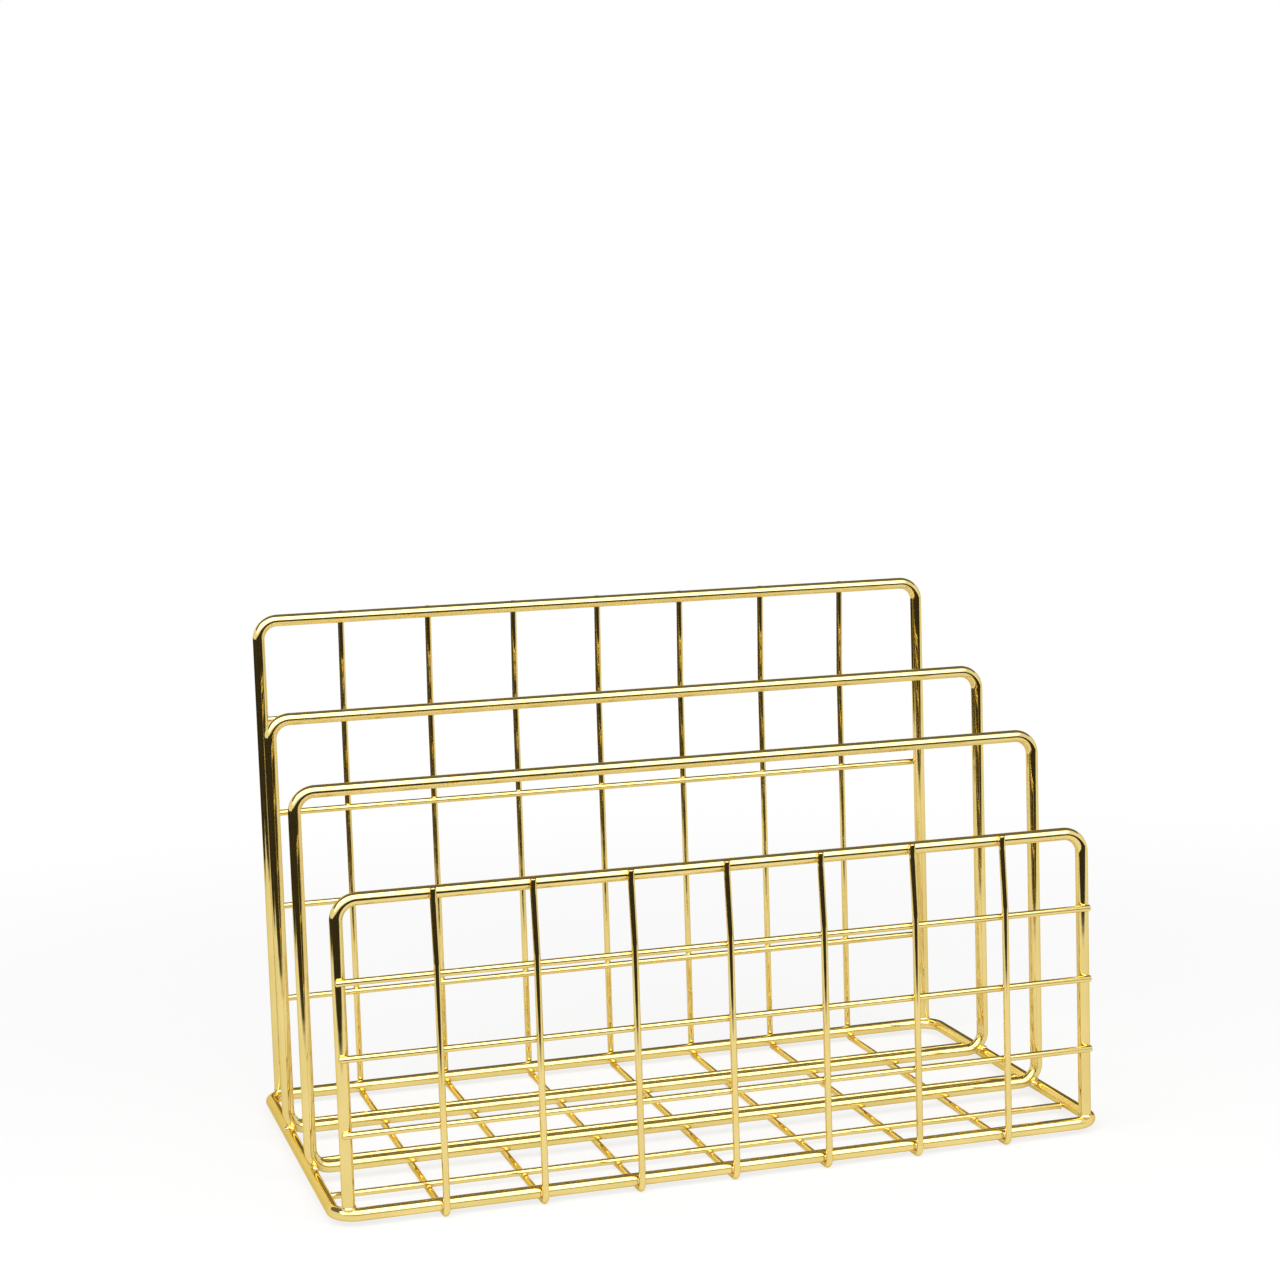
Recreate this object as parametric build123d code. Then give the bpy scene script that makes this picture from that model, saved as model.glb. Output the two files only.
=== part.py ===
from build123d import *
from math import hypot, sqrt
import os

# Letter rack of welded round wire: four upright panels, three slots.
# Millimetres. X runs along the panels, Y from the front panel to the rear one, Z up.
# The origin is under the middle of the rack, on the surface that it stands on.

# Wire
frame_wire = 3.8            # diameter of the wire of the base loop, frames and dividers
grid_wire = 2.0             # diameter of the wire of the grids and the floor
frame_bed = 0.4             # how deep a weld sinks a wire into a frame wire
grid_bed = 0.5              # how deep a weld sinks one grid wire into another

# Base loop
base_width = 235.5          # between the axes of its side runs
base_bend = 7.0             # corner radius on the wire's axis
leg_inset = 3.75            # from a side run's axis to the axis of a frame leg

# Panels: heights run from the axis of the base loop to the axis of a top rail
slot_pitch = 41.8           # from one panel to the next
front_height = 90.0
front_divider_height = 114.0
rear_divider_height = 130.0
rear_height = 156.5
frame_bend = 6.0            # corner radius of frames and dividers on the wire's axis

# Front and rear grids
upright_count = 7
outer_column = 27.3         # from a leg's axis to the first upright
front_row_count = 3
front_bottom_row = 23.5     # from the axis of the base loop to the lowest row
front_top_row = 22.9        # from the highest row to the axis of the top rail
rear_row_count = 4
rear_bottom_row = 31.8
rear_top_row = 32.3
row_setback = 0.6           # how far short of a leg's outer side a row wire ends
upright_end = 1.7           # how far an upright goes past the axis of its rail
rail_flat = 2.5             # how far below that axis an upright starts to lean out
row_flat = 3.0              # how far above the highest row it is straight again
lean_bend = 12.0            # bend radius of that lean
floor_bend = 2.8            # bend radius of an upright round the base loop

# Floor wires
front_floor_setback = 21.0  # behind the front frame
divider_floor_setback = 13.5  # behind each divider

# Welds
foot_weld = 0.5             # how far a foot's bead stands out round its leg
divider_weld = 2.0          # radius of the bead in the crook of a divider's corner

# Places that follow from the sizes above
frame_radius = frame_wire / 2
grid_radius = grid_wire / 2
seat = frame_radius + grid_radius - frame_bed   # between the axes of a frame wire and a grid wire on it
cross = grid_wire - grid_bed                    # between the axes of two grid wires that cross
base_z = grid_radius + seat                     # the base loop lies on the floor runs of the grid wires
corner_reach = max(base_bend - leg_inset, 0)    # how far along the corner's arc a leg stands
leg_setback = base_bend - sqrt(base_bend ** 2 - corner_reach ** 2)
leg_x = base_width / 2 - leg_inset
panel_ys = [slot_pitch * step for step in (-1.5, -0.5, 0.5, 1.5)]   # evenly about the middle
front_y, *divider_ys, rear_y = panel_ys
base_depth = rear_y - front_y + 2 * leg_setback
front_rail_z = base_z + front_height
rear_rail_z = base_z + rear_height
# A divider's corner rests on the side run below it, which lifts the divider this far above the base loop
corner_seat = frame_bend + frame_wire - frame_bed
divider_lift = sqrt(corner_seat ** 2 - frame_bend ** 2) - frame_bend


def spread(first, last, count):
    """Evenly spaced places from first to last."""
    step = (last - first) / (count - 1)
    return [first + step * i for i in range(count)]


def bent_wire(points, diameter, bends, closed=False):
    """Round wire along straight runs with an arc at each corner."""
    path = FilletPolyline(*points, radius=bends, close=closed)
    section = Plane(origin=path @ 0, z_dir=path % 0) * Circle(diameter / 2)
    return sweep(section, path=path)


def straight_wire(half_length, y, z):
    """Grid wire along X, centred on the rack."""
    return Pos(0, y, z) * Rot(0, 90, 0) * Cylinder(grid_radius, 2 * half_length)


def frame(y, rail_z):
    """Left and right half of an arch, with their feet bedded on the base loop."""
    foot_z = base_z + frame_radius - frame_bed
    points = [(leg_x, y, foot_z), (leg_x, y, rail_z), (0, y, rail_z)]
    half = bent_wire(points, frame_wire, frame_bend) - base_loop
    return [mirror(half, about=Plane.YZ), half]


def divider(y, height):
    """Closed upright loop whose lower corners bed on the side runs of the base loop."""
    x = base_width / 2
    low = base_z + divider_lift
    high = base_z + height
    points = [(-x, y, low), (-x, y, high), (x, y, high), (x, y, low)]
    return bent_wire(points, frame_wire, frame_bend, closed=True) - base_loop


def rows(y, zs, halves):
    """Row wires that lie across the legs of a frame."""
    half_length = leg_x + frame_radius - row_setback
    return [straight_wire(half_length, y, z) - halves for z in zs]


def grid_wires():
    """Wires that go up the front, along the floor and up the rear, bedded on all that they cross."""
    front_rail_y = front_y - seat
    front_upright_y = front_rail_y - cross
    rear_rail_y = rear_y + seat
    rear_upright_y = rear_rail_y + cross
    points = [
        (0, front_rail_y, front_rail_z + upright_end),
        (0, front_rail_y, front_rail_z - rail_flat),
        (0, front_upright_y, front_row_zs[-1] + row_flat),
        (0, front_upright_y, grid_radius),
        (0, rear_upright_y, grid_radius),
        (0, rear_upright_y, rear_row_zs[-1] + row_flat),
        (0, rear_rail_y, rear_rail_z - rail_flat),
        (0, rear_rail_y, rear_rail_z + upright_end),
    ]
    bends = [lean_bend, lean_bend, floor_bend, floor_bend, lean_bend, lean_bend]
    wire = bent_wire(points, grid_wire, bends)
    crossed = [base_loop, *front_frame, *rear_frame, *front_rows, *rear_rows]
    last_x = leg_x - outer_column
    return [Pos(x, 0, 0) * wire - crossed for x in spread(-last_x, last_x, upright_count)]


def floor_wire(y):
    """Wire along a slot, bedded on the floor runs and butted on the side runs of the base loop."""
    half_length = base_width / 2 - frame_radius + frame_bed
    return straight_wire(half_length, y, grid_radius + cross) - [base_loop, *uprights]


def foot_welds():
    """Bead round each foot of the two frames."""
    beads = []
    for halves, y in ((front_frame, front_y), (rear_frame, rear_y)):
        for half, x in zip(halves, (-leg_x, leg_x)):
            bead = Pos(x, y, base_z + frame_radius) * Sphere(frame_radius + foot_weld)
            beads.append(bead - [half, base_loop])
    return beads


def divider_welds():
    """Bead in the crook between each lower corner of a divider and the base loop."""
    arc_x = base_width / 2 - frame_bend
    arc_z = base_z + divider_lift + frame_bend
    run_x = base_width / 2
    reach = (frame_bend + frame_radius) / hypot(run_x - arc_x, base_z - arc_z)
    weld_x = arc_x + (run_x - arc_x) * reach
    weld_z = arc_z + (base_z - arc_z) * reach
    beads = []
    for panel, y in zip((front_divider, rear_divider), divider_ys):
        for side in (-1, 1):
            bead = Pos(side * weld_x, y, weld_z) * Sphere(divider_weld)
            beads.append(bead - [panel, base_loop])
    return beads


# Base loop and panels
base_points = [
    (-base_width / 2, -base_depth / 2, base_z),
    (base_width / 2, -base_depth / 2, base_z),
    (base_width / 2, base_depth / 2, base_z),
    (-base_width / 2, base_depth / 2, base_z),
]
base_loop = bent_wire(base_points, frame_wire, base_bend, closed=True)
front_frame = frame(front_y, front_rail_z)
rear_frame = frame(rear_y, rear_rail_z)
front_divider = divider(divider_ys[0], front_divider_height)
rear_divider = divider(divider_ys[1], rear_divider_height)

# Grids and floor
front_row_zs = spread(base_z + front_bottom_row, front_rail_z - front_top_row, front_row_count)
rear_row_zs = spread(base_z + rear_bottom_row, rear_rail_z - rear_top_row, rear_row_count)
front_rows = rows(front_y - seat, front_row_zs, front_frame)
rear_rows = rows(rear_y + seat, rear_row_zs, rear_frame)
uprights = grid_wires()
floor_ys = (front_y + front_floor_setback, *(y + divider_floor_setback for y in divider_ys))
floor_wires = [floor_wire(y) for y in floor_ys]

nodes = {
    "base_loop": base_loop,
    "front_frame": Compound(children=front_frame),
    "front_divider": front_divider,
    "rear_divider": rear_divider,
    "rear_frame": Compound(children=rear_frame),
    "foot_welds": Compound(children=foot_welds()),
    "divider_welds": Compound(children=divider_welds()),
}
for family, wires in (
    ("grid_wire", uprights),
    ("front_row", front_rows),
    ("rear_row", rear_rows),
    ("floor_wire", floor_wires),
):
    for number, wire in enumerate(wires, 1):
        nodes[f"{family}_{number}"] = wire

os.makedirs("parts", exist_ok=True)
for name, shape in nodes.items():
    export_step(shape, f"parts/{name}.step")
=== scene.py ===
from math import cos, radians, sin, tan

import bpy
from mathutils import Matrix, Vector


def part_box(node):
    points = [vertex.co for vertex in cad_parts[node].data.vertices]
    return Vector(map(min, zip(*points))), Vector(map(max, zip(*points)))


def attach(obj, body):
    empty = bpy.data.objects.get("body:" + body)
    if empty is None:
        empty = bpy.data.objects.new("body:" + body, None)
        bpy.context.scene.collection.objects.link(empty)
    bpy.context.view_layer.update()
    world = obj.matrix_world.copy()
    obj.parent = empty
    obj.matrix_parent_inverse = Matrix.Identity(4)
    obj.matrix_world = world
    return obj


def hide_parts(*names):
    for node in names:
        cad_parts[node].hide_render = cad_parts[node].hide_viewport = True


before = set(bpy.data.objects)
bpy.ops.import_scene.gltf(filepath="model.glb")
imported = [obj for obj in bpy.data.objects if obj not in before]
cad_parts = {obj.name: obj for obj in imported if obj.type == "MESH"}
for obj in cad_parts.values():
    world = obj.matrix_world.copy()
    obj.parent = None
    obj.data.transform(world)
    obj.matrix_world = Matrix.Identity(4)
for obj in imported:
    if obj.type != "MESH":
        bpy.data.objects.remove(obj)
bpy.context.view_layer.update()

scene = bpy.context.scene
print("frame loaded:", len(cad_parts), "nodes")


# What the frame says about its nodes

def nodesOf(family):
    return sorted(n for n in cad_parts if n.startswith(family))


def middleOf(node):
    low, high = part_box(node)
    return (low + high) / 2


def halfHeight(node):
    low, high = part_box(node)
    return (high.z - low.z) / 2


# The two wires of the rack, both measured on the frame

thickWire = dict(
    radius=halfHeight("base_loop"),
    sides=40,
    quarterSteps=16,            # rings in a quarter bend
    endRound=0.0004,
)
thinWire = dict(
    radius=halfHeight("front_row_1"),
    sides=28,
    quarterSteps=12,
    endRound=0.0003,
)
bending = dict(
    fewestSteps=3,              # rings in the slightest bend
    endSteps=4,                 # rings in a rounded end
    mergeWithin=1e-6,
    smoothUnder=radians(50),
)


# Wire bending: a ring is pushed along its runs and spun round its bends

def startRing(name, point, heading, wire):
    bpy.ops.object.select_all(action="DESELECT")
    bpy.ops.mesh.primitive_circle_add(
        vertices=wire["sides"], radius=wire["radius"], fill_type="NOTHING",
        location=point, rotation=heading.to_track_quat("Z", "Y").to_euler())
    piece = bpy.context.object
    piece.name = name
    piece.data.name = name
    bpy.ops.object.transform_apply(location=True, rotation=True, scale=True)
    bpy.ops.object.mode_set(mode="EDIT")
    bpy.ops.mesh.select_all(action="SELECT")
    return piece


def pushOn(step):
    bpy.ops.mesh.extrude_region_move(TRANSFORM_OT_translate={"value": step})


def bendRound(tangentPoint, heading, nextHeading, radius, wire):
    turn = heading.angle(nextHeading)
    inward = (nextHeading - heading * heading.dot(nextHeading)).normalized()
    steps = max(bending["fewestSteps"], round(wire["quarterSteps"] * turn / radians(90)))
    bpy.ops.mesh.spin(
        steps=steps, angle=turn, center=tangentPoint + inward * radius, axis=inward.cross(heading))


def roundEnds(wire):
    bpy.ops.mesh.select_all(action="SELECT")
    bpy.ops.mesh.fill_holes(sides=0)
    bpy.ops.mesh.select_all(action="DESELECT")
    bpy.ops.mesh.select_mode(type="FACE")       # by vertices, a straight wire would be selected whole
    bpy.ops.mesh.select_face_by_sides(number=wire["sides"], type="EQUAL")
    bpy.ops.mesh.region_to_loop()
    bpy.ops.mesh.bevel(offset=wire["endRound"], segments=bending["endSteps"], affect="EDGES")
    bpy.ops.mesh.select_mode(type="VERT")


def bendWire(name, corners, bends, wire, closed=False):
    points = [Vector(c) for c in corners]
    if closed:                                  # start and stop in the middle of one side
        middle = (points[-1] + points[0]) / 2
        points = [middle, *points, middle]
    heading = (points[1] - points[0]).normalized()
    piece = startRing(name, points[0], heading, wire)
    at = points[0]
    for corner, onward, radius in zip(points[1:], points[2:], bends):
        nextHeading = (onward - corner).normalized()
        setback = radius * tan(heading.angle(nextHeading) / 2)
        tangentPoint = corner - heading * setback
        pushOn(tangentPoint - at)
        bendRound(tangentPoint, heading, nextHeading, radius, wire)
        at = corner + nextHeading * setback
        heading = nextHeading
    pushOn(points[-1] - at)
    bpy.ops.mesh.select_all(action="SELECT")
    bpy.ops.mesh.remove_doubles(threshold=bending["mergeWithin"])
    bpy.ops.mesh.normals_make_consistent(inside=False)
    if not closed:
        roundEnds(wire)
    bpy.ops.object.mode_set(mode="OBJECT")
    bpy.ops.object.shade_smooth_by_angle(angle=bending["smoothUnder"])
    return piece


def settle(piece, node):
    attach(piece, "root")
    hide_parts(node)
    return piece


wirePieces = []

# Base loop

baseLoop = dict(bend=0.007)


def makeBaseLoop():
    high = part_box("base_loop")[1]
    r = thickWire["radius"]
    x, y, z = high.x - r, high.y - r, middleOf("base_loop").z
    corners = [(-x, -y, z), (x, -y, z), (x, y, z), (-x, y, z)]
    return bendWire("baseLoop", corners, [baseLoop["bend"]] * 4, thickWire, closed=True)


wirePieces.append(settle(makeBaseLoop(), "base_loop"))
print("base loop bent")

# Front and rear frames

frames = dict(
    bend=0.006,
    foot=0.0013,                # height of a leg's end above the axis of the base loop
)


def makeFrame(name, node):
    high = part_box(node)[1]
    r = thickWire["radius"]
    x, y, top = high.x - r, middleOf(node).y, high.z - r
    foot = middleOf("base_loop").z + frames["foot"]
    corners = [(-x, y, foot), (-x, y, top), (x, y, top), (x, y, foot)]
    return bendWire(name, corners, [frames["bend"]] * 2, thickWire)


wirePieces.append(settle(makeFrame("frontFrame", "front_frame"), "front_frame"))
wirePieces.append(settle(makeFrame("rearFrame", "rear_frame"), "rear_frame"))
print("frames bent")

# Dividers

dividers = dict(bend=0.006)


def makeDivider(name, node):
    low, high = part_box(node)
    r = thickWire["radius"]
    x, y = high.x - r, middleOf(node).y
    bottom, top = low.z + r, high.z - r
    corners = [(-x, y, bottom), (-x, y, top), (x, y, top), (x, y, bottom)]
    return bendWire(name, corners, [dividers["bend"]] * 4, thickWire, closed=True)


wirePieces.append(settle(makeDivider("frontDivider", "front_divider"), "front_divider"))
wirePieces.append(settle(makeDivider("rearDivider", "rear_divider"), "rear_divider"))
print("dividers bent")

# Row wires and floor wires, all straight

straightWires = {"front_row": "frontRow", "rear_row": "rearRow", "floor_wire": "floorWire"}


def makeStraightWire(name, node):
    low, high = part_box(node)
    middle = middleOf(node)
    ends = [(low.x, middle.y, middle.z), (high.x, middle.y, middle.z)]
    return bendWire(name, ends, [], thinWire)


for family, title in straightWires.items():
    for number, node in enumerate(nodesOf(family), 1):
        wirePieces.append(settle(makeStraightWire(f"{title}{number}", node), node))
print("rows and floor wires cut")

# Grid wires: up the front, along the floor and up the rear

gridWire = dict(
    pastRail=0.0017,            # how far an end goes past the axis of its rail
    railFlat=0.0025,            # how far below that axis the wire starts to lean out
    rowFlat=0.003,              # how far above the highest row it is straight again
    leanBend=0.012,
    floorBend=0.0028,
)
gridNodes = nodesOf("grid_wire")


def makeGridWire(name, node):
    low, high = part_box(node)
    r = thinWire["radius"]
    x, floor = middleOf(node).x, low.z + r
    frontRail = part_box("front_frame")[1].z - thickWire["radius"]
    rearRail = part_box("rear_frame")[1].z - thickWire["radius"]
    frontRow, rearRow = middleOf(nodesOf("front_row")[-1]), middleOf(nodesOf("rear_row")[-1])
    corners = [
        (x, frontRow.y, frontRail + gridWire["pastRail"]),
        (x, frontRow.y, frontRail - gridWire["railFlat"]),
        (x, low.y + r, frontRow.z + gridWire["rowFlat"]),
        (x, low.y + r, floor),
        (x, high.y - r, floor),
        (x, high.y - r, rearRow.z + gridWire["rowFlat"]),
        (x, rearRow.y, rearRail - gridWire["railFlat"]),
        (x, rearRow.y, rearRail + gridWire["pastRail"]),
    ]
    lean, turn = gridWire["leanBend"], gridWire["floorBend"]
    return bendWire(name, corners, [lean, lean, turn, turn, lean, lean], thinWire)


for number, node in enumerate(gridNodes, 1):
    wirePieces.append(settle(makeGridWire(f"gridWire{number}", node), node))
print("grid wires bent")

# Welds: lumpy beads, modelled once and copied, each copy turned a little further

welding = dict(
    turn=radians(137.5),        # from one copy to the next
    segments=24,
    rings=12,
    smoothing=0.5,
    smoothings=6,
)
alongX, alongY, alongZ = (1, 0, 0), (0, 1, 0), (0, 0, 1)        # the ways that a weld can face


def addLumps(weld):
    bpy.ops.transform.vertex_random(
        offset=weld["lump"], uniform=1 - weld["outward"], normal=weld["outward"], seed=weld["seed"])


def makeBead(weld):
    bpy.ops.object.select_all(action="DESELECT")
    blobs = []
    for place, radius, squash in weld["blobs"]:
        bpy.ops.mesh.primitive_uv_sphere_add(
            segments=welding["segments"], ring_count=welding["rings"], radius=radius, location=place)
        blobs.append(bpy.context.object)
        blobs[-1].scale.z = squash
    for blob in blobs:
        blob.select_set(True)
    bpy.ops.object.transform_apply(location=True, rotation=True, scale=True)
    bpy.ops.object.join()
    bead = bpy.context.object
    melt = bead.modifiers.new("melt", "REMESH")
    melt.mode = "VOXEL"
    melt.voxel_size = weld["voxel"]
    bpy.ops.object.modifier_apply(modifier=melt.name)
    bpy.ops.object.mode_set(mode="EDIT")
    bpy.ops.mesh.select_all(action="SELECT")
    addLumps(weld)
    bpy.ops.mesh.vertices_smooth(factor=welding["smoothing"], repeat=welding["smoothings"])
    bpy.ops.object.mode_set(mode="OBJECT")
    bpy.ops.object.shade_smooth()
    return bead


def copyBead(name, bead, spots):
    copies = []
    for number, (place, facing) in enumerate(spots):
        copy = bead.copy()
        copy.data = bead.data.copy()
        scene.collection.objects.link(copy)
        upright = Vector(facing).to_track_quat("Z", "Y").to_matrix().to_4x4()
        spun = Matrix.Rotation(number * welding["turn"], 4, "Z")
        copy.matrix_world = Matrix.Translation(place) @ upright @ spun
        copies.append(copy)
    bpy.data.objects.remove(bead)
    bpy.ops.object.select_all(action="DESELECT")
    for copy in copies:
        copy.select_set(True)
    bpy.context.view_layer.objects.active = copies[0]
    bpy.ops.object.join()
    welds = bpy.context.object
    welds.name = name
    welds.data.name = name
    bpy.ops.object.transform_apply(location=True, rotation=True, scale=True)
    return welds


weldPieces = []

# Foot welds: a collar squeezed out under each leg

footWeld = dict(
    height=0.002,               # of its middle, above the axis of the base loop
    blobs=[                     # place, radius and squash
        ((0, 0, 0), 0.00225, 0.42),
        ((-0.0012, -0.0007, 0.0001), 0.0011, 0.7),
        ((0.0012, -0.0007, 0), 0.0011, 0.65),
    ],
    voxel=0.00016,
    lump=0.00012,
    outward=0.8,
    seed=3,
)


def makeFootWelds():
    z = middleOf("base_loop").z + footWeld["height"]
    spots = []
    for node in ("front_frame", "rear_frame"):
        x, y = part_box(node)[1].x - thickWire["radius"], middleOf(node).y
        spots += [((side * x, y, z), alongZ) for side in (-1, 1)]
    return copyBead("footWelds", makeBead(footWeld), spots)


weldPieces.append(settle(makeFootWelds(), "foot_welds"))

# Divider welds: a nugget on each side of the wire, in the crook over the base loop

dividerWeld = dict(
    blobs=[
        ((0, 0, 0), 0.0016, 1.0),
        ((0, 0.0014, 0.0002), 0.0012, 0.9),
        ((0.0003, -0.0014, -0.0001), 0.0013, 0.9),
    ],
    voxel=0.00016,
    lump=0.00014,
    outward=0.8,
    seed=5,
)


def makeDividerWelds():
    r, bend = thickWire["radius"], dividers["bend"]
    run = Vector((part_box("base_loop")[1].x - r, 0, middleOf("base_loop").z))
    spots = []
    for node in ("front_divider", "rear_divider"):
        arc = Vector((run.x - bend, 0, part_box(node)[0].z + r + bend))
        crook = arc + (run - arc).normalized() * (bend + r)
        spots += [((side * crook.x, middleOf(node).y, crook.z), alongZ) for side in (-1, 1)]
    return copyBead("dividerWelds", makeBead(dividerWeld), spots)


weldPieces.append(settle(makeDividerWelds(), "divider_welds"))
print("beads welded")

# Spot welds: a flat nugget wherever two wires cross or meet

spotWeld = dict(
    reach=0.0012,
    thickness=0.0005,
    subdivisions=2,
    lump=0.00006,
    outward=0.7,
    seed=7,
)
gridXs = [middleOf(n).x for n in gridNodes]
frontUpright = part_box(gridNodes[0])[0].y + thinWire["radius"]
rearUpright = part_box(gridNodes[0])[1].y - thinWire["radius"]


def makeNugget():
    bpy.ops.object.select_all(action="DESELECT")
    bpy.ops.mesh.primitive_ico_sphere_add(
        subdivisions=spotWeld["subdivisions"], radius=spotWeld["reach"], location=(0, 0, 0))
    nugget = bpy.context.object
    bpy.ops.object.mode_set(mode="EDIT")
    bpy.ops.mesh.select_all(action="SELECT")
    bpy.ops.transform.resize(value=(1, 1, spotWeld["thickness"] / spotWeld["reach"]))
    addLumps(spotWeld)
    bpy.ops.object.mode_set(mode="OBJECT")
    bpy.ops.object.shade_smooth()
    return nugget


def touch(axis, otherAxis, radius, otherRadius):
    return axis + (otherAxis - axis) * radius / (radius + otherRadius)


def panelSpots(frameNode, family, uprightY):
    thick, thin = thickWire["radius"], thinWire["radius"]
    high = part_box(frameNode)[1]
    rail, legX = high.z - thick, high.x - thick
    rows = [middleOf(n) for n in nodesOf(family)]
    onFrame = touch(middleOf(frameNode).y, rows[0].y, thick, thin)
    onRow = touch(rows[0].y, uprightY, thin, thin)
    spots = [((x, onFrame, rail), alongY) for x in gridXs]
    for row in rows:
        spots += [((x, onRow, row.z), alongY) for x in gridXs]
        spots += [((x, onFrame, row.z), alongY) for x in (-legX, legX)]
    return spots


def floorSpots():
    thick, thin = thickWire["radius"], thinWire["radius"]
    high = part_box("base_loop")[1]
    innerX, runY = high.x - 2 * thick, high.y - thick
    base, floor = middleOf("base_loop").z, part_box(gridNodes[0])[0].z + thin
    under = touch(base, floor, thick, thin)
    spots = []
    for y, uprightY in ((-runY, frontUpright), (runY, rearUpright)):
        beside = touch(y, uprightY, thick, thin)
        spots += [((x, y, under), alongZ) for x in gridXs]
        spots += [((x, beside, base), alongY) for x in gridXs]
    for node in nodesOf("floor_wire"):
        wire = middleOf(node)
        over = touch(floor, wire.z, thin, thin)
        spots += [((x, wire.y, over), alongZ) for x in gridXs]
        spots += [((x, wire.y, wire.z), alongX) for x in (-innerX, innerX)]
    return spots


spotGroups = dict(
    frontSpots=panelSpots("front_frame", "front_row", frontUpright),
    rearSpots=panelSpots("rear_frame", "rear_row", rearUpright),
    floorSpots=floorSpots(),
)
for name, spots in spotGroups.items():
    welds = copyBead(name, makeNugget(), spots)
    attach(welds, "root")
    weldPieces.append(welds)
print("spot welds:", sum(len(spots) for spots in spotGroups.values()))

# Gold plating, a little cloudy in colour and gloss, and duller on the welds

plating = dict(
    light=(0.84, 0.67, 0.265),
    deep=(0.77, 0.605, 0.22),
    edge=(0.84, 0.69, 0.36),
    clouds=55,                  # per metre
    grain=350,
    waves=170,
    waveHeight=0.00003,
    detail=2,                   # of the clouds and the grain
    waveDetail=1,
    noiseSpan=(0.3, 0.7),       # where most values of the noise are
    roughness=(0.06, 0.1),
)
weldPlating = dict(
    plating,
    light=(0.86, 0.74, 0.42),
    deep=(0.74, 0.6, 0.3),
    clouds=600,
    roughness=(0.1, 0.26),
)


def noiseNode(nodes, links, place, scale, detail):
    noise = nodes.new("ShaderNodeTexNoise")
    noise.inputs["Scale"].default_value = scale
    noise.inputs["Detail"].default_value = detail
    links.new(place, noise.inputs["Vector"])
    return noise.outputs["Fac"]


def rangeNode(nodes, links, value, span, results=(0, 1), kind="LINEAR"):
    spread = nodes.new("ShaderNodeMapRange")
    spread.interpolation_type = kind
    spread.inputs["From Min"].default_value = span[0]
    spread.inputs["From Max"].default_value = span[1]
    spread.inputs["To Min"].default_value = results[0]
    spread.inputs["To Max"].default_value = results[1]
    links.new(value, spread.inputs["Value"])
    return spread.outputs["Result"]


def makePlating(name, finish):
    material = bpy.data.materials.new(name)
    material.use_nodes = True
    nodes, links = material.node_tree.nodes, material.node_tree.links
    shader = nodes["Principled BSDF"]
    shader.inputs["Metallic"].default_value = 1.0
    shader.inputs["Specular Tint"].default_value = (*finish["edge"], 1)
    place = nodes.new("ShaderNodeTexCoord").outputs["Object"]
    clouds = noiseNode(nodes, links, place, finish["clouds"], finish["detail"])
    grain = noiseNode(nodes, links, place, finish["grain"], finish["detail"])
    waves = noiseNode(nodes, links, place, finish["waves"], finish["waveDetail"])
    tone = nodes.new("ShaderNodeMix")
    tone.data_type = "RGBA"
    tone.inputs["A"].default_value = (*finish["deep"], 1)
    tone.inputs["B"].default_value = (*finish["light"], 1)
    links.new(rangeNode(nodes, links, clouds, finish["noiseSpan"]), tone.inputs["Factor"])
    links.new(tone.outputs["Result"], shader.inputs["Base Color"])
    gloss = rangeNode(nodes, links, grain, finish["noiseSpan"], finish["roughness"])
    links.new(gloss, shader.inputs["Roughness"])
    bump = nodes.new("ShaderNodeBump")
    bump.inputs["Distance"].default_value = finish["waveHeight"]
    links.new(waves, bump.inputs["Height"])
    links.new(bump.outputs["Normal"], shader.inputs["Normal"])
    return material


def coat(group, material):
    for piece in group:
        piece.data.materials.clear()
        piece.data.materials.append(material)


coat(wirePieces, makePlating("goldPlating", plating))
coat(weldPieces, makePlating("weldPlating", weldPlating))
print("plating on", len(wirePieces) + len(weldPieces), "pieces")

# Camera, as the photograph sees the rack

viewFrom = dict(
    place=(-0.22830, -0.75412, 0.24084),
    turn=(83.6515, 1.8043, -16.7155),       # degrees
    lens=71.711,
    sensor=36,
    nearest=0.01,
)


def makeCamera():
    camera = bpy.data.cameras.new("camera")
    camera.lens = viewFrom["lens"]
    camera.sensor_width = viewFrom["sensor"]
    camera.clip_start = viewFrom["nearest"]
    stand = bpy.data.objects.new("camera", camera)
    scene.collection.objects.link(stand)
    stand.location = viewFrom["place"]
    stand.rotation_euler = [radians(a) for a in viewFrom["turn"]]
    scene.camera = stand


makeCamera()
print("camera set")

# Studio: a white floor and background, one large softbox in front, and dark and dim glowing cards for the
# metal to mirror, painted reflections that nothing else sees

studio = dict(
    floorSize=12.0,
    floorGrey=0.9,
    shadowShare=0.25,               # how much of the floor's own shading shows near the rack
    mirroredShare=0.55,             # the same, as the metal mirrors it
    shadowReach=(0.2, 0.6),         # where that fades out into plain white
    ambient=0.35,
    softboxPower=26,
    softboxSize=(2.6, 1.3),
    softboxPlace=(-0.25, -0.75, 0.95),
    softboxAim=(0, 0, 0.05),
)
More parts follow.
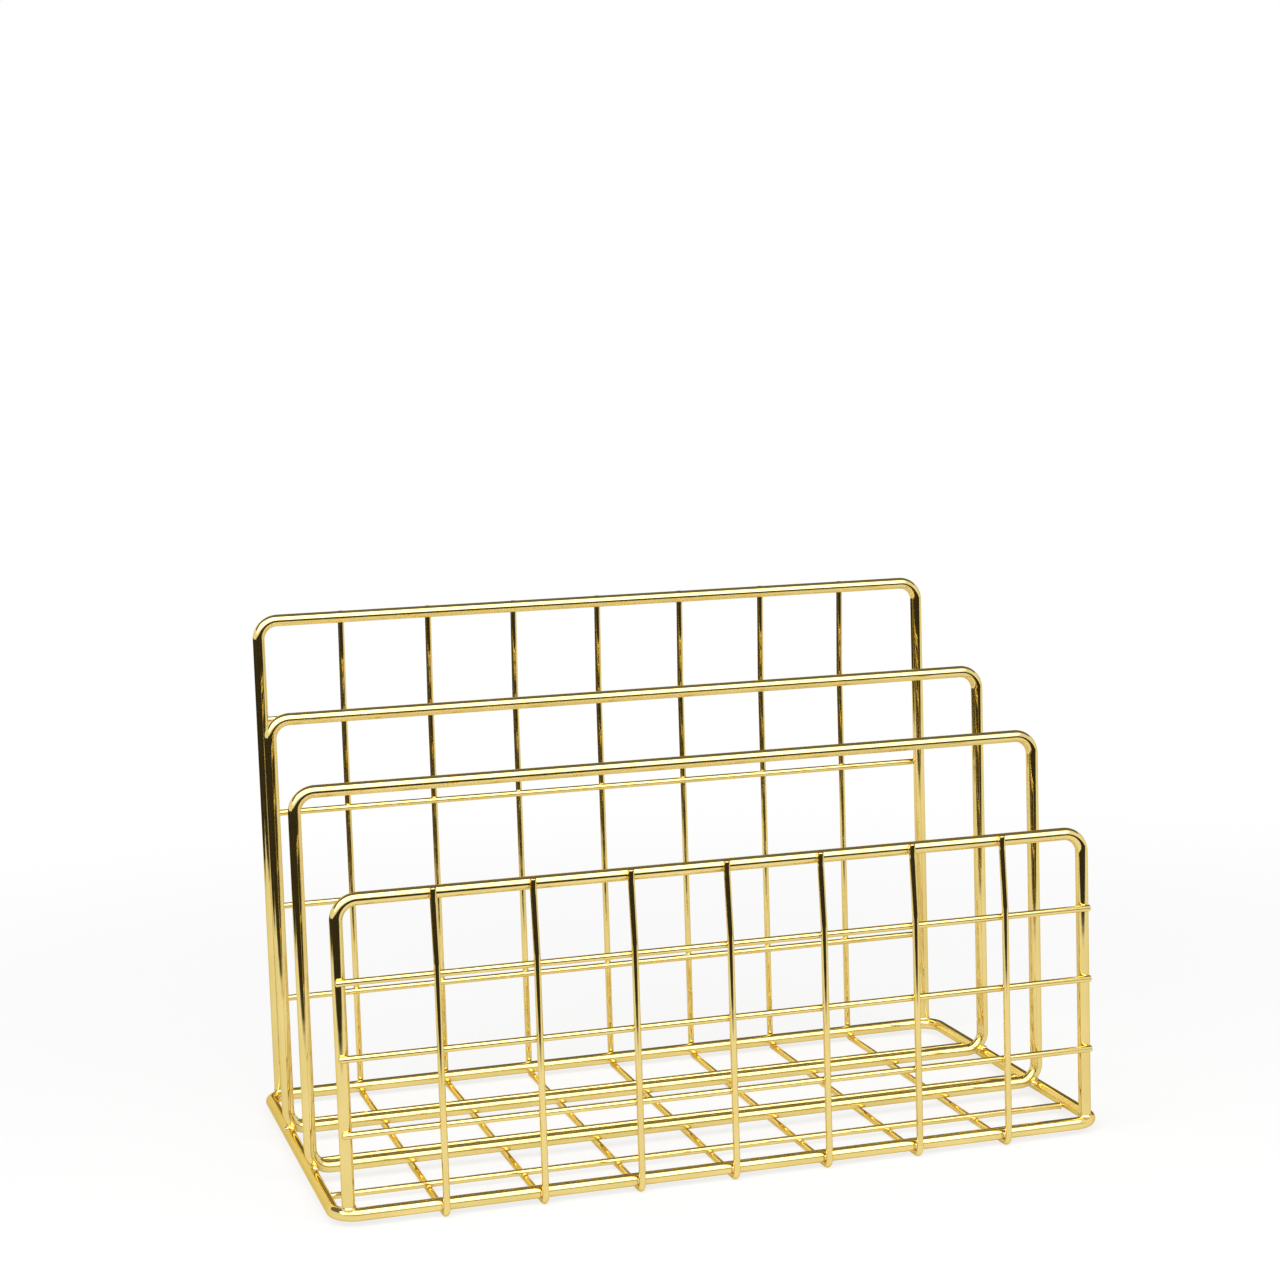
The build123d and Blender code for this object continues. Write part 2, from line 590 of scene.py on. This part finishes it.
# The cards paint reflections into the metal: glowing sheets, dark in front and dim behind and above, that
# only glossy rays meet
cards = dict(
    turn=radians(17),               # the front card is turned as the camera is
    frontEdge=(0.195, 0.255),       # it fades in this far before the middle of the rack
    leftEdge=(0.4, 0.46),           # and this far to the left of it
    lift=0.001,                     # above the floor
    wallPlace=(0, -3.0, 0.15),
    wallSize=(9.0, 0.3),
    rearPlace=(2.4, 3.0, 1.1),
    rearSize=(4.4, 2.2),
    ceilingPlace=(0, 1.3, 2.2),
    ceilingSize=(9.0, 3.4),
    # Painted dark reflection: the front and wall cards glow faintly though they are no lamps
    dark=0.04,                      # glow of the front and wall cards
    darkTint=(1, 0.85, 0.6),
    # Painted dim reflection: the rear and ceiling cards glow though they are no lamps
    dim=0.18,                       # glow of the rear and ceiling cards
    dimTint=(1, 1, 0.95),
)
pureWhite = (1, 1, 1, 1)
lying, standing = (0, 0, 0), (radians(90), 0, 0)


def mathNode(nodes, links, operation, first, second):
    node = nodes.new("ShaderNodeMath")
    node.operation = operation
    links.new(first, node.inputs[0])
    links.new(second, node.inputs[1])
    return node.outputs[0]


def vectorNode(nodes, links, operation, place, way=(0, 0, 0)):
    node = nodes.new("ShaderNodeVectorMath")
    node.operation = operation
    node.inputs[1].default_value = way
    links.new(place, node.inputs[0])
    return node.outputs["Value"]


def rayKind(nodes, links, *kinds):
    path = nodes.new("ShaderNodeLightPath")
    total = path.outputs[kinds[0]]
    for kind in kinds[1:]:
        total = mathNode(nodes, links, "MAXIMUM", total, path.outputs[kind])
    return total


def emptyTree(owner, outputKind):
    owner.use_nodes = True
    nodes, links = owner.node_tree.nodes, owner.node_tree.links
    nodes.clear()
    return nodes, links, nodes.new(outputKind)


def mixShaders(nodes, links, share, first, second, out):
    mix = nodes.new("ShaderNodeMixShader")
    links.new(share, mix.inputs["Fac"])
    links.new(first.outputs[0], mix.inputs[1])
    links.new(second.outputs[0], mix.inputs[2])
    links.new(mix.outputs[0], out.inputs["Surface"])


def addPlane(name, place, size, turn=lying):
    bpy.ops.object.select_all(action="DESELECT")
    bpy.ops.mesh.primitive_plane_add(size=1, location=place, rotation=turn)
    plane = bpy.context.object
    plane.name = name
    plane.scale = (*size, 1)
    bpy.ops.object.transform_apply(location=True, rotation=True, scale=True)
    return plane


def makeFloor():
    floor = addPlane("floor", (0, 0, 0), [studio["floorSize"]] * 2)
    material = bpy.data.materials.new("paleFloor")
    nodes, links, out = emptyTree(material, "ShaderNodeOutputMaterial")
    matt = nodes.new("ShaderNodeBsdfDiffuse")
    matt.inputs["Color"].default_value = (*[studio["floorGrey"]] * 3, 1)
    white = nodes.new("ShaderNodeEmission")
    white.inputs["Color"].default_value = pureWhite
    place = nodes.new("ShaderNodeTexCoord").outputs["Object"]
    away = vectorNode(nodes, links, "LENGTH", place)

    def plainShare(shading, *kinds):
        plain = rangeNode(nodes, links, away, studio["shadowReach"], (1 - shading, 1), "SMOOTHSTEP")
        return mathNode(nodes, links, "MULTIPLY", rayKind(nodes, links, *kinds), plain)

    seen = plainShare(studio["shadowShare"], "Is Camera Ray")
    mirrored = plainShare(studio["mirroredShare"], "Is Glossy Ray", "Is Transmission Ray")
    share = mathNode(nodes, links, "MAXIMUM", seen, mirrored)
    mixShaders(nodes, links, share, matt, white, out)
    floor.data.materials.append(material)


def makeBackground():
    world = bpy.data.worlds.new("background")
    scene.world = world
    nodes, links, out = emptyTree(world, "ShaderNodeOutputWorld")
    white = nodes.new("ShaderNodeBackground")
    white.inputs["Color"].default_value = pureWhite
    ambient = nodes.new("ShaderNodeBackground")
    ambient.inputs["Color"].default_value = pureWhite
    ambient.inputs["Strength"].default_value = studio["ambient"]
    seen = rayKind(nodes, links, "Is Camera Ray", "Is Glossy Ray", "Is Transmission Ray")
    mixShaders(nodes, links, seen, ambient, white, out)


def makeSoftbox():
    light = bpy.data.lights.new("softbox", "AREA")
    light.shape = "RECTANGLE"
    light.size, light.size_y = studio["softboxSize"]
    light.energy = studio["softboxPower"]
    box = bpy.data.objects.new("softbox", light)
    scene.collection.objects.link(box)
    box.location = studio["softboxPlace"]
    aim = Vector(studio["softboxAim"]) - box.location
    box.rotation_euler = aim.to_track_quat("-Z", "Y").to_euler()
    box.visible_camera = False


# The front card's painted dark reflection covers the floor in front of and to the left of the rack, past
# these edges, and is clear near it
def frontReflectionCover(nodes, links):
    place = nodes.new("ShaderNodeTexCoord").outputs["Object"]
    s, c = sin(cards["turn"]), cos(cards["turn"])
    forward = vectorNode(nodes, links, "DOT_PRODUCT", place, (-s, -c, 0))
    left = vectorNode(nodes, links, "DOT_PRODUCT", place, (-c, s, 0))
    pastFront = rangeNode(nodes, links, forward, cards["frontEdge"], kind="SMOOTHSTEP")
    pastLeft = rangeNode(nodes, links, left, cards["leftEdge"], kind="SMOOTHSTEP")
    return mathNode(nodes, links, "MAXIMUM", pastFront, pastLeft)


# A card's glowing colour is a painted reflection; where a cover is given, it is clear outside it
def paintedReflectionMaterial(name, glow, tint, cover=None):
    material = bpy.data.materials.new(name)
    nodes, links, out = emptyTree(material, "ShaderNodeOutputMaterial")
    card = nodes.new("ShaderNodeEmission")
    card.inputs["Color"].default_value = (*tint, 1)
    card.inputs["Strength"].default_value = glow
    if cover:                                       # clear where the card isn't
        clear = nodes.new("ShaderNodeBsdfTransparent")
        mixShaders(nodes, links, cover(nodes, links), clear, card, out)
    else:
        links.new(card.outputs[0], out.inputs["Surface"])
    return material


def makePaintedReflections():
    dim = paintedReflectionMaterial("dimReflectionCard", cards["dim"], cards["dimTint"])
    dark = paintedReflectionMaterial("wallReflectionCard", cards["dark"], cards["darkTint"])
    darkFront = paintedReflectionMaterial("frontReflectionCard", cards["dark"], cards["darkTint"], frontReflectionCover)
    front = addPlane("frontReflectionCard", (0, 0, cards["lift"]), [studio["floorSize"]] * 2)
    wall = addPlane("wallReflectionCard", cards["wallPlace"], cards["wallSize"], standing)
    rear = addPlane("rearReflectionCard", cards["rearPlace"], cards["rearSize"], standing)
    ceiling = addPlane("ceilingReflectionCard", cards["ceilingPlace"], cards["ceilingSize"])
    # Painted reflections: each card is seen only in the metal, never by the camera, by the floor's light
    # or in its shadows
    for card, material in ((front, darkFront), (wall, dark), (rear, dim), (ceiling, dim)):
        card.data.materials.append(material)
        card.visible_camera = False                 # only the metal sees it
        card.visible_diffuse = False
        card.visible_shadow = False
        card.visible_transmission = False


makeFloor()
makeBackground()
makeSoftbox()
makePaintedReflections()
scene.view_settings.view_transform = "Standard"
print("studio set")
